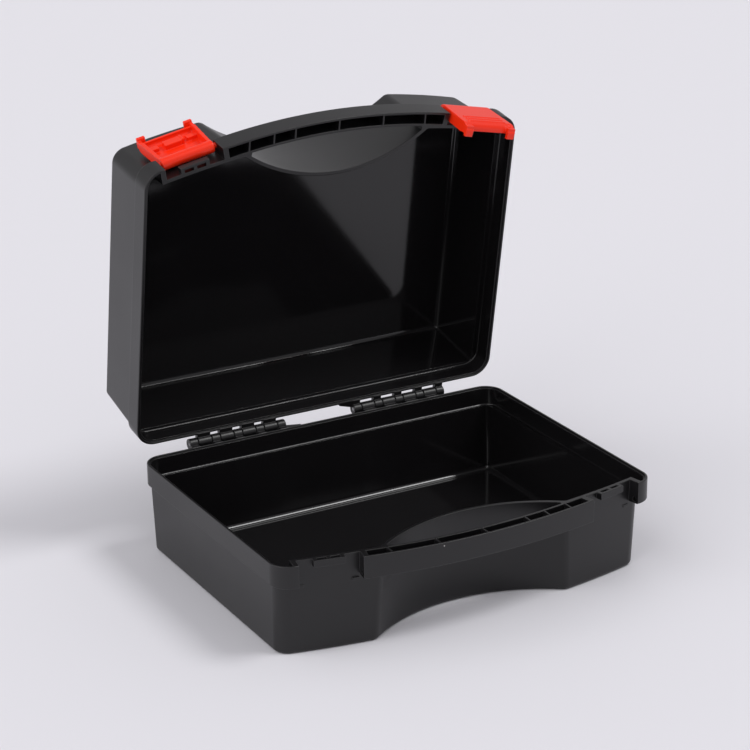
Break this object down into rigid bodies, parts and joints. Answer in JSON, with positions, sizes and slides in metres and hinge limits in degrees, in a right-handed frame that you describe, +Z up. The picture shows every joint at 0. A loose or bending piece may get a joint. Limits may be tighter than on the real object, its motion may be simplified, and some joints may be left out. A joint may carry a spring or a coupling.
{
  "type": "carrying case",
  "caption": "Moulded carrying case: tray-like base and equally deep hinged lid with a split handle bar over a finger scoop, and flip latches on the lid.",
  "frame": {"origin": "centre of the underside of the base, on the floor", "axes": "+X to the right seen from the front (handle side), +Y back towards the hinges, +Z up; rest pose has the lid open by 80 degrees, the left latch folded back and the right latch in its shut position"},
  "size_m": [0.25, 0.2601, 0.2623],
  "materials": {
    "base_plastic": "finely grained black outside, smooth inside",
    "lid_plastic": "finely grained black outside, smooth inside",
    "latch_plastic": "satin red",
    "pin_metal": "drawn wire"
  },
  "bodies": {
    "base": {"base_shell": "base_plastic", "left_hinge_pin": "pin_metal", "right_hinge_pin": "pin_metal"},
    "lid": {"lid_shell": "lid_plastic"},
    "left_latch": {"left_latch": "latch_plastic"},
    "right_latch": {"right_latch": "latch_plastic"}
  },
  "joints": [
    {"name": "lid_hinge", "type": "hinge", "parent": "base", "child": "lid", "pos_m": [0, 0.0982, 0.0588], "axis": [-1, 0, 0], "range_deg": [-80, 0]},
    {"name": "left_latch_hinge", "type": "hinge", "parent": "lid", "child": "left_latch", "pos_m": [-0.0939, 0.07643, 0.24789], "axis": [-0.9781, 0.0361, -0.2048], "range_deg": [-180, 0]},
    {"name": "right_latch_hinge", "type": "hinge", "parent": "lid", "child": "right_latch", "pos_m": [0.0939, 0.07643, 0.24789], "axis": [-0.9781, -0.0361, 0.2048], "range_deg": [0, 180]}
  ]
}
